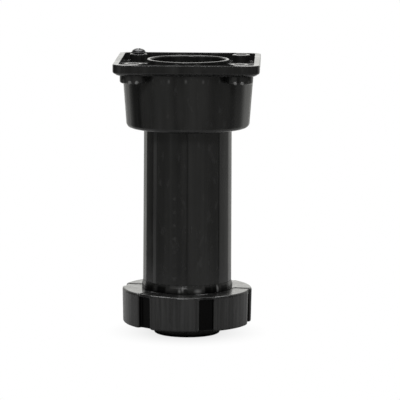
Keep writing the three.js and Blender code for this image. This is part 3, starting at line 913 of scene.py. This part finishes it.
def leg_tube(material):
    pairs = quarter(TUBE_BOTTOM, 0.08, False)
    pairs += [(0.0, TUBE_BOTTOM + (SHOULDER - TUBE_BOTTOM) * k / 6) for k in range(1, 6)]
    pairs += quarter(SHOULDER, 0.5, True)
    levels = [
        (polygon_outline(TUBE_SIDES, tube_radius(z) - inset, TUBE_ARRIS, TUBE_TURN, TUBE_SWELL), z)
        for inset, z in pairs
    ]
    tube = lofted("leg_tube_body", levels)
    spigot = turned("spigot", [(SPIGOT_R, SHOULDER - 1.0, 0.0), (SPIGOT_R, SPIGOT_TOP, 0.6)])
    combined(tube, [spigot], "UNION")
    bore = turned("bore", [
        (TUBE_BORE_R + 0.3, TUBE_BOTTOM - OVERCUT, 0.0),
        (TUBE_BORE_R + 0.3, TUBE_BOTTOM + 0.05, 0.0),
        (TUBE_BORE_R, TUBE_BOTTOM + 0.4, 0.0),
        (TUBE_BORE_R, SHOULDER - SHOULDER_SLOPE, 1.0),
        (SPIGOT_BORE_R, SHOULDER - 1.0, 1.0),
        *mouth(SPIGOT_BORE_R, SPIGOT_TOP, 0.3, 0.35, 0.3),
    ])
    combined(tube, [bore], "DIFFERENCE")
    return finished(tube, material, "leg", "leg_tube")


# ---- the thread bush ----

BUSH_FLARE = 1.8  # height over which the collar widens
BUSH_STEPS = 6
BUSH_SEAT = 0.2  # how much closer it sits to the wheel than the CAD collar
BUSH_EDGE = 0.15


def thread_bush(material):
    """The collar carries on the tube's sixteen sides and widens softly towards the wheel."""
    flare = BUSH_COLLAR_R - BUSH_COLLAR_TOP_R
    widest = BUSH_COLLAR_TOP - BUSH_FLARE
    foot = BUSH_BOTTOM - BUSH_SEAT
    pairs = [(BUSH_COLLAR_R - inset, z) for inset, z in quarter(foot, BUSH_EDGE, False)]
    for k in range(BUSH_STEPS + 1):
        share = k / BUSH_STEPS
        eased = share * share * (3 - 2 * share)
        pairs.append((BUSH_COLLAR_R - flare * eased, widest + BUSH_FLARE * share))
    body = lofted("thread_bush_body", [
        (polygon_outline(TUBE_SIDES, radius, TUBE_ARRIS, TUBE_TURN, TUBE_SWELL), z) for radius, z in pairs
    ])
    sleeve = turned("bush_sleeve", [
        (BUSH_BODY_R, BUSH_BOTTOM + 1.0, 0.0),
        (BUSH_BODY_R, BUSH_TOP, 0.6),
    ])
    combined(body, [sleeve], "UNION")
    bore = threaded_rod(
        "thread", THREAD_CORE_R + THREAD_PLAY, THREAD_CREST_R + THREAD_PLAY,
        RIDGE_ROOT + 2 * THREAD_PLAY, RIDGE_CREST + 2 * THREAD_PLAY, PITCH, THREAD_START,
        BUSH_BOTTOM - OVERCUT, BUSH_TOP + OVERCUT, sides=64, rows=60,
    )
    combined(body, [bore], "DIFFERENCE")
    return finished(body, material, "leg", "thread_bush")


# ---- the foot wheel and its spindle ----

LOBE_STEPS = 9  # flats round each lobe
LOBE_ARRIS = 5.0  # rounding between two flats
KEY_REACH = 15.7
KEY_HEIGHT = 11.0
KEY_WIDTH = 3.0
KEYS = 3
WHEEL_RIB = 1.6


def lobed_outline(radius, inset, depth):
    """The wheel seen from above: six lobes parted by flat-bottomed grooves, all brought in by an inset."""
    half = GROOVE_WIDTH / 2 + inset
    floor = radius - depth - inset
    outer = radius - inset
    points = []
    for lobe in range(WHEEL_LOBES):
        angle = WHEEL_TURN + math.tau * lobe / WHEEL_LOBES
        start = math.asin(half / outer)
        end = math.tau / WHEEL_LOBES - start
        local = [(-half, floor, 0.7), (half, floor, 0.7)]
        for k in range(LOBE_STEPS + 1):
            turn = start + (end - start) * k / LOBE_STEPS
            corner = LOBE_CORNER if k in (0, LOBE_STEPS) else LOBE_ARRIS
            local.append((outer * math.sin(turn), outer * math.cos(turn), corner))
        for x, y, corner in local:
            px, py = turned_point(x, -y, angle)
            points.append((px, py, corner))
    return softened(points, steps=3)


def flat_block(name, outline, bottom, top):
    return lofted(name, [(outline, bottom), (outline, top)])


def wheel_radius(z):
    return WHEEL_R - WHEEL_TAPER * (WHEEL_TOP - z) / (WHEEL_TOP - WHEEL_BOTTOM)


def pocket(angle, deck):
    """One of the six hollows under the wheel: from rib to rib, passing behind a groove."""
    inner = WHEEL_HUB_R
    outer = WHEEL_R - WHEEL_TAPER - WHEEL_WALL
    groove_back = WHEEL_R - WHEEL_TAPER - GROOVE_DEPTH - WHEEL_WALL
    half_lobe = math.pi / WHEEL_LOBES

    def outline(inset):
        low, high = inner + inset, outer - inset
        rib = WHEEL_RIB / 2 + inset
        beside = GROOVE_WIDTH / 2 + WHEEL_WALL + inset
        right = []
        for k in range(4):
            turn = (half_lobe - math.asin(rib / low)) * k / 3
            if k:
                right.append((low * math.sin(turn), low * math.cos(turn), 0.6 if k == 3 else 0.0))
        start, end = half_lobe - math.asin(rib / high), math.asin(beside / high)
        for k in range(4):
            turn = start + (end - start) * k / 3
            right.append((high * math.sin(turn), high * math.cos(turn), 0.6 if k in (0, 3) else 0.0))
        right.append((beside, groove_back - inset, 0.4))
        left = [(-x, y, corner) for x, y, corner in reversed(right)]
        points = []
        for x, y, corner in [(0.0, low, 0.0)] + right + left:
            px, py = turned_point(x, -y, angle)
            points.append((px, py, corner))
        return softened(points, steps=3)
    return prism("pocket", outline, WHEEL_BOTTOM - OVERCUT, deck, upper_edge=0.5)


def key_angles():
    return [WHEEL_TURN + math.tau * k / KEYS for k in range(KEYS)]


def foot_wheel(material):
    lip = WHEEL_TOP - LIP_HEIGHT
    levels = [(inset, z, GROOVE_DEPTH) for inset, z in quarter(WHEEL_BOTTOM, 0.9, False)]
    levels += [(0.0, WHEEL_BOTTOM + 6, GROOVE_DEPTH), (0.0, lip - 0.2, GROOVE_DEPTH)]
    levels += [(0.0, lip, LIP_INSET + 0.2), (0.0, lip + 0.2, LIP_INSET)]
    levels += [(inset, z, LIP_INSET) for inset, z in quarter(WHEEL_TOP, 0.9, True)]
    wheel = lofted(
        "foot_wheel_body", [(lobed_outline(wheel_radius(z), inset, depth), z) for inset, z, depth in levels]
    )
    deck = WHEEL_TOP - WHEEL_DECK
    cutters = []
    for lobe in range(WHEEL_LOBES):
        angle = WHEEL_TURN + math.tau * lobe / WHEEL_LOBES

        def channel(inset, angle=angle):
            half = GROOVE_WIDTH / 2 - 0.07 - inset
            return box_outline(-half, half, -(WHEEL_R + 2), -(BUSH_COLLAR_R + GAP) - inset, 0.8, angle)
        floor = WHEEL_TOP - CHANNEL_DEPTH
        cutters.append(prism("channel", channel, floor, WHEEL_TOP + OVERCUT, lower_edge=0.15))
        cutters.append(pocket(angle, deck))
    hole_radius = THREAD_CREST_R + GAP
    hole_line = [(hole_radius, WHEEL_BOTTOM - OVERCUT, 0.0), *mouth(hole_radius, WHEEL_TOP, 0.3, 0.3)]
    cutters.append(turned("spindle_hole", hole_line))
    keyway_top = WHEEL_BOTTOM + KEY_HEIGHT + 2 * GAP
    keyway_half = KEY_WIDTH / 2 + GAP
    for angle in key_angles():
        outline = box_outline(
            -keyway_half, keyway_half, -(KEY_REACH + GAP), -(THREAD_CREST_R - 1), 0.3, angle
        )
        cutters.append(flat_block("keyway", outline, WHEEL_BOTTOM - OVERCUT, keyway_top))
    combined(wheel, cutters, "DIFFERENCE")
    return finished(wheel, material, "foot", "foot_wheel", crease=24)


def foot_spindle(material):
    bottom = SPINDLE_BOTTOM
    body = threaded_rod(
        "foot_spindle_body", THREAD_CORE_R, THREAD_CREST_R, RIDGE_ROOT, RIDGE_CREST, PITCH, THREAD_START,
        WHEEL_TOP - 1.0, SPINDLE_TOP, sides=72, rows=200, fade=1.2,
    )
    plain = turned("plain", [(THREAD_CREST_R, bottom, 0.3), (THREAD_CREST_R, WHEEL_TOP, 0.3)], sides=72)
    keys = []
    for angle in key_angles():
        def key(inset, angle=angle):
            half = KEY_WIDTH / 2 - inset
            return box_outline(-half, half, -KEY_REACH + inset, -(THREAD_CREST_R - 1), 0.3, angle)
        keys.append(prism("key", key, bottom, bottom + KEY_HEIGHT, lower_edge=0.2, upper_edge=0.3))
    combined(body, [plain] + keys, "UNION")
    floor = bottom + SPINDLE_END
    bore = turned("bore", [(SPINDLE_BORE_R, floor, 0.8), *mouth(SPINDLE_BORE_R, SPINDLE_TOP, 0.5, 0.55)])
    hole_radius = PIN_R + GAP
    hole_line = [(hole_radius, bottom - OVERCUT, 0.0), (hole_radius, floor + OVERCUT, 0.0)]
    pin_hole = turned("pin_hole", hole_line, sides=ROUND)
    combined(body, [bore, pin_hole], "DIFFERENCE")
    return finished(body, material, "foot", "foot_spindle")


# ---- the glide pad and its clip ----

PAD_R = 14.6
PAD_FLOOR_R = 14.2
PIN_HEAD = 1.8
CLIP_R = 7.2
CLIP_HEIGHT = 1.2
CLIP_NOTCHES = 4
CLIP_NOTCH_WIDTH = 1.4
CLIP_NOTCH_REACH = 5.6
NECK_BOTTOM = SPINDLE_BOTTOM + SPINDLE_END
NECK_TOP = NECK_BOTTOM + CLIP_HEIGHT + 0.6


def glide_pad(material):
    pad = turned("glide_pad_body", [
        (PAD_FLOOR_R, 0.0, 0.5),
        (PAD_R, 1.2, 0.6),
        (PAD_R, PAD_TOP, 0.5),
        (PIN_R, PAD_TOP, 0.3),
        (PIN_R, NECK_BOTTOM, 0.15),
        (PIN_NECK_R, NECK_BOTTOM + 0.01, 0.0),
        (PIN_NECK_R, NECK_TOP, 0.0),
        (PIN_R, NECK_TOP + 0.01, 0.15),
        (PIN_NECK_R, NECK_TOP + PIN_HEAD, 0.3),
    ])
    return finished(pad, material, "glide", "glide_pad")


def pad_clip(material):
    bottom = NECK_BOTTOM + GAP
    clip = turned("pad_clip_body", [(CLIP_R, bottom, 0.2), (CLIP_R, bottom + CLIP_HEIGHT, 0.2)], sides=64)
    low_end, high_end = bottom - OVERCUT, bottom + CLIP_HEIGHT + OVERCUT
    hole_radius = PIN_NECK_R + GAP
    hole_line = [(hole_radius, low_end, 0.0), (hole_radius, high_end, 0.0)]
    cutters = [turned("clip_bore", hole_line, sides=ROUND)]
    half = CLIP_NOTCH_WIDTH / 2
    for k in range(CLIP_NOTCHES):
        outline = box_outline(-half, half, -CLIP_NOTCH_REACH, -2.0, 0.4, math.tau * k / CLIP_NOTCHES)
        cutters.append(flat_block("clip_notch", outline, low_end, high_end))
    combined(clip, cutters, "DIFFERENCE")
    return finished(clip, material, "glide", "pad_clip")


# ---- floor, light and camera ----


# What the black plastic sees round it: bearing from the front in degrees, right positive, and light.
SURROUND = [
    (-180, 1.40), (-170, 1.25), (-162, 0.55), (-156, 0.40), (-146, 0.85), (-137, 0.42), (-128, 0.28),
    (-114, 0.15), (-102, 0.02), (-95, 0.06), (-90, 0.28), (-82, 0.15), (-72, 0.14), (-53, 0.42),
    (-28, 0.42), (-14, 0.10), (-6, 0.14), (2, 0.30), (26, 0.33), (52, 0.22), (76, 0.30), (86, 0.06),
    (98, 0.16), (109, 0.28), (123, 0.50), (132, 0.80), (142, 0.70), (156, 0.35), (162, 0.50), (180, 1.40),
]
BRIGHTEST = 1.4
WARMTH = 0.965  # share of blue in the mirrored light, against red and green


def studio_world():
    """White for the camera; for reflections, dark at the front and white behind, as in a light tent."""
    world = bpy.data.worlds.new("studio")
    world.use_nodes = True
    bpy.context.scene.world = world
    nodes, links = world.node_tree.nodes, world.node_tree.links

    def linked(kind, source, slot):
        made = nodes.new(kind)
        links.new(source, made.inputs[slot])
        return made

    split = linked("ShaderNodeSeparateXYZ", nodes.new("ShaderNodeTexCoord").outputs["Generated"], "Vector")
    towards = linked("ShaderNodeMath", split.outputs["Y"], 0)
    towards.operation = "MULTIPLY"
    towards.inputs[1].default_value = -1.0
    bearing = linked("ShaderNodeMath", split.outputs["X"], 0)
    bearing.operation = "ARCTAN2"
    links.new(towards.outputs["Value"], bearing.inputs[1])
    share = linked("ShaderNodeMapRange", bearing.outputs["Value"], "Value")
    share.inputs["From Min"].default_value = -math.pi
    share.inputs["From Max"].default_value = math.pi
    ramp = linked("ShaderNodeValToRGB", share.outputs["Result"], "Fac")
    stops = ramp.color_ramp.elements
    while len(stops) > 1:
        stops.remove(stops[-1])
    for index, (degrees, light) in enumerate(SURROUND):
        position = (degrees + 180) / 360
        stop = stops[0] if index == 0 else stops.new(position)
        stop.position = position
        level = light / BRIGHTEST
        stop.color = (level, level, level * WARMTH, 1.0)
    seen = nodes.new("ShaderNodeMix")
    seen.data_type = "RGBA"
    factor, mirrored, white = (seen.inputs[i] for i in (0, 6, 7))  # the sockets of its colour form
    links.new(nodes.new("ShaderNodeLightPath").outputs["Is Camera Ray"], factor)
    links.new(ramp.outputs["Color"], mirrored)
    white.default_value = grey(1.0 / BRIGHTEST)
    links.new(seen.outputs[2], nodes["Background"].inputs["Color"])
    nodes["Background"].inputs["Strength"].default_value = BRIGHTEST


FLOOR_RADIUS = 0.17  # metres
MIRRORED_FLOOR = 0.28  # how pale the floor is in reflections
SHADOW_INNER = 13.0  # millimetres; from here out to SHADOW_OUTER the foot's painted shadow fades
SHADOW_OUTER = 37.0
SHADOW_DEPTH = 0.22
SHADOW_FALL = 1.6


def floor_sheet():
    """A round white floor sheet under the leg, with a painted soft shadow where the foot stands.

    The sheet is clear to the camera, so a foot that is let down below it stays in sight; its white is
    that of the room behind it. The plastic mirrors a dim floor, as over a studio table's edge.
    """
    rim = [math.tau * i / CIRCLE for i in range(CIRCLE)]
    mesh = bpy.data.meshes.new("floor")
    mesh.from_pydata(
        [(FLOOR_RADIUS * math.cos(angle), FLOOR_RADIUS * math.sin(angle), 0.0) for angle in rim],
        [], [tuple(range(CIRCLE))],
    )
    floor = new_object("floor", mesh)
    n = Nodes("pale_floor")
    n.shader.inputs["Base Color"].default_value = grey(MIRRORED_FLOOR)
    n.link(n.ranged(n.noise(3.0, 3.0), 0.3, 0.7, 0.75, 0.85), n.shader.inputs["Roughness"])
    n.shader.inputs["Specular IOR Level"].default_value = 0.0
    fading = n.ranged(n.from_axis(), SHADOW_INNER * MM, SHADOW_OUTER * MM, 1.0, 0.0)
    seen_from_above = n.math("SUBTRACT", 1.0, n.surface("Backfacing"))
    shadow = n.times(n.math("POWER", fading, SHADOW_FALL), seen_from_above)
    tint = n.mix(shadow, grey(1.0), grey(1.0 - SHADOW_DEPTH))
    clear = n.node("ShaderNodeBsdfTransparent", Color=tint)
    path = n.tree.nodes.new("ShaderNodeLightPath")
    sheet = n.chosen(path.outputs["Is Camera Ray"], n.shader.outputs["BSDF"], clear.outputs["BSDF"])
    n.link(sheet, n.tree.nodes["Material Output"].inputs["Surface"])
    mesh.materials.append(n.material)


def softbox(name, place, target, size, watts):
    data = bpy.data.lights.new(name, "AREA")
    data.shape = "RECTANGLE"
    data.size, data.size_y = size
    data.energy = watts
    lamp = bpy.data.objects.new(name, data)
    bpy.context.scene.collection.objects.link(lamp)
    lamp.location = place
    lamp.rotation_mode = "QUATERNION"
    lamp.rotation_quaternion = (Vector(target) - Vector(place)).to_track_quat("-Z", "Y")


# Metres, with the camera a little to the right of the front and looking slightly down.
CAMERA_AZIMUTH = math.radians(1.9)
CAMERA_DISTANCE = 1.237
CAMERA_HEIGHT = 0.235
LOOK_HEIGHT = 0.0583
LOOK_ASIDE = 0.00543
CAMERA_ROLL = math.radians(0.3)
CAMERA_LENS = 258.0


def camera():
    data = bpy.data.cameras.new("camera")
    data.lens = CAMERA_LENS
    data.sensor_width = 36.0
    data.clip_start, data.clip_end = 0.05, 20.0
    eye = bpy.data.objects.new("camera", data)
    bpy.context.scene.collection.objects.link(eye)
    sin, cos = math.sin(CAMERA_AZIMUTH), math.cos(CAMERA_AZIMUTH)
    eye.location = (CAMERA_DISTANCE * sin, -CAMERA_DISTANCE * cos, CAMERA_HEIGHT)
    target = Vector((LOOK_ASIDE * cos, LOOK_ASIDE * sin, LOOK_HEIGHT))
    eye.rotation_mode = "QUATERNION"
    aim = (target - eye.location).to_track_quat("-Z", "Y")
    eye.rotation_quaternion = aim @ Quaternion((0.0, 0.0, 1.0), CAMERA_ROLL)
    bpy.context.scene.camera = eye


socket_black = socket_plastic("black_moulding_socket")
tube_black = tube_plastic("black_moulding_tube")
wheel_black = wheel_plastic("black_moulding_wheel")
dull_black = moulded_plastic("dull_black_moulding", DULL_BLACK, DULL, DULL_GRAIN).material
bush_black = bush_plastic("dull_black_moulding_bush")
dark_steel = screw_steel("dark_screw_steel")

mounting_socket(socket_black)
corner_screw(dark_steel)
leg_tube(tube_black)
thread_bush(bush_black)
foot_wheel(wheel_black)
foot_spindle(dull_black)
glide_pad(dull_black)
pad_clip(dark_steel)

studio_world()
floor_sheet()
softbox("overhead", place=(0.0, 0.15, 0.9), target=(0.0, 0.0, 0.05), size=(0.9, 0.8), watts=14.0)
softbox("front_top", place=(-0.12, -0.75, 0.62), target=(0.0, 0.0, 0.06), size=(0.22, 0.22), watts=3.0)
camera()
bpy.context.scene.view_settings.view_transform = "Standard"
